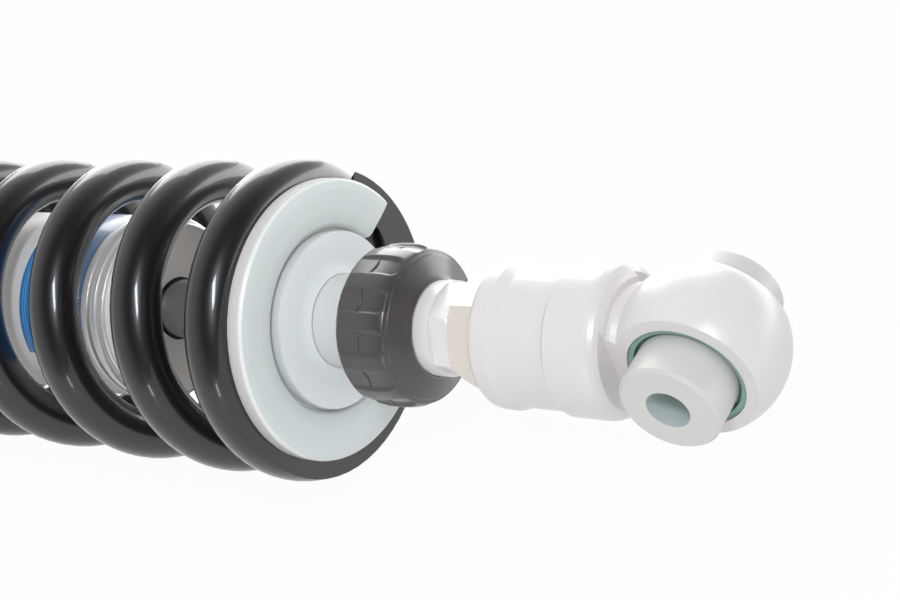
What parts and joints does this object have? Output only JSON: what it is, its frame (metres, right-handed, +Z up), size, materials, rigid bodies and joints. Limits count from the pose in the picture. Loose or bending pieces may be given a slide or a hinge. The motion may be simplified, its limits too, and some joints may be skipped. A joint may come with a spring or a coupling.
{
  "type": "motorcycle rear shock absorber",
  "caption": "Gas-charged monotube damper inside a black coil spring, with a slotted spring retainer, rebound knob and spherical-bearing eyes.",
  "frame": {"origin": "centre of the bolt bore in the body-end eye", "axes": "+X along the shock's axis towards the rod-end eye, +Y along both bolt bores, away from the picture's viewpoint, +Z up"},
  "size_m": [0.4032, 0.0836, 0.0836],
  "materials": {
    "spring_black": "gloss black powder coat on spring steel",
    "retainer_grey": "matte cool-grey cast and painted",
    "cup_grey": "matte light grey, turned",
    "knob_rubber": "moulded charcoal rubber",
    "core_aluminium": "machined",
    "bearing_steel": "ground steel",
    "spring_steel": "rolled spring steel",
    "coupler_steel": "bright turned and plated",
    "nut_steel": "bright plated",
    "eye_aluminium": "satin silver anodised",
    "seal_green": "moulded teal-green rubber",
    "clip_steel": "phosphated",
    "collar_steel": "satin grey, chamfered",
    "cap_aluminium": "satin silver anodised",
    "black_rubber": "moulded",
    "valve_brass": "turned",
    "black_plastic": "moulded",
    "tube_aluminium": "polished silver with a blue striped band",
    "dust_cap_grey": "satin warm grey",
    "blue_rubber": "moulded",
    "bush_bronze": "bronze-backed dry bush",
    "rod_chrome": "dark hard chrome, polished",
    "piston_metal": "machined",
    "band_plastic": "moulded bearing plastic",
    "ring_aluminium": "satin anodised",
    "ring_dark": "black anodised"
  },
  "bodies": {
    "damper_body": {"end_cap": "cap_aluminium", "end_cap_o_ring": "black_rubber", "gas_valve": "valve_brass", "valve_cap": "black_plastic", "body_tube": "tube_aluminium", "dust_cap": "dust_cap_grey", "wiper_seal": "black_rubber", "seal_head_circlip": "clip_steel", "seal_head": "core_aluminium", "seal_head_o_ring": "black_rubber", "rod_seal": "blue_rubber", "rod_bush": "bush_bronze", "body_end_race": "bearing_steel", "body_end_seals": "seal_green", "body_end_circlips": "clip_steel", "coil_spring": "spring_black"},
    "rod_assembly": {"piston_rod": "rod_chrome", "shaft_coupler": "coupler_steel", "jam_nut": "nut_steel", "rod_end_eye": "eye_aluminium", "rod_end_race": "bearing_steel", "rod_end_seals": "seal_green", "rod_end_circlips": "clip_steel", "spring_cup": "cup_grey", "spring_retainer": "retainer_grey", "bump_stop": "black_rubber", "top_out_bumper": "black_rubber", "stop_washer": "bearing_steel", "rebound_shims": "spring_steel", "piston": "piston_metal", "piston_band": "band_plastic", "compression_shims": "spring_steel", "piston_nut": "bearing_steel"},
    "floating_piston_group": {"floating_piston": "piston_metal", "floating_band": "band_plastic", "floating_o_ring": "black_rubber"},
    "preload_seat": {"spring_seat": "ring_aluminium", "thrust_washer": "band_plastic"},
    "preload_rings": {"preload_ring": "ring_aluminium", "lock_ring": "ring_dark"},
    "rebound_knob": {"adjuster_knob": "knob_rubber", "knob_core": "core_aluminium", "detent_ball": "bearing_steel", "detent_spring": "spring_steel"},
    "metering_needle": {"metering_rod": "core_aluminium", "drive_pin": "bearing_steel"},
    "rod_end_bearing": {"rod_end_ball": "bearing_steel"},
    "rod_end_collars": {"rod_end_collar_near": "collar_steel", "rod_end_collar_far": "collar_steel"},
    "body_end_bearing": {"body_end_ball": "bearing_steel"},
    "body_end_collars": {"body_end_collar_near": "collar_steel", "body_end_collar_far": "collar_steel"}
  },
  "joints": [
    {"name": "rod_slide", "type": "slide", "parent": "damper_body", "child": "rod_assembly", "axis": [-1, 0, 0], "range_m": [0, 0.043], "stiffness_N_per_m": 134000, "springref_m": -0.002, "deforming": ["coil_spring", "bump_stop"]},
    {"name": "floating_piston_slide", "type": "slide", "parent": "damper_body", "child": "floating_piston_group", "axis": [-1, 0, 0], "range_m": [0, 0.0053]},
    {"name": "preload_turn", "type": "hinge", "parent": "preload_seat", "child": "preload_rings", "pos_m": [0.05, 0, 0], "axis": [-1, 0, 0], "range_deg": [0, 1800]},
    {"name": "preload_slide", "type": "slide", "parent": "damper_body", "child": "preload_seat", "axis": [-1, 0, 0], "range_m": [0, 0.0075]},
    {"name": "rebound_knob_turn", "type": "hinge", "parent": "rod_assembly", "child": "rebound_knob", "pos_m": [0.285, 0, 0], "axis": [-1, 0, 0], "range_deg": [0, 720]},
    {"name": "metering_slide", "type": "slide", "parent": "rod_assembly", "child": "metering_needle", "axis": [-1, 0, 0], "range_m": [0, 0.0012]},
    {"name": "rod_end_tilt", "type": "hinge", "parent": "rod_assembly", "child": "rod_end_bearing", "pos_m": [0.365, 0, 0], "axis": [1, 0, 0], "range_deg": [-3, 3]},
    {"name": "rod_end_turn", "type": "hinge", "parent": "rod_end_bearing", "child": "rod_end_collars", "pos_m": [0.365, 0, 0], "axis": [0, 1, 0], "continuous": true},
    {"name": "body_end_tilt", "type": "hinge", "parent": "damper_body", "child": "body_end_bearing", "pos_m": [0, 0, 0], "axis": [1, 0, 0], "range_deg": [-3, 3]},
    {"name": "body_end_turn", "type": "hinge", "parent": "body_end_bearing", "child": "body_end_collars", "pos_m": [0, 0, 0], "axis": [0, 1, 0], "continuous": true}
  ],
  "couplings": [
    {"joint": "floating_piston_slide", "follows": "rod_slide", "ratio": 0.121},
    {"joint": "preload_slide", "follows": "preload_turn", "m_per_rad": 0.00023873},
    {"joint": "metering_slide", "follows": "rebound_knob_turn", "m_per_rad": 0.00009549}
  ]
}
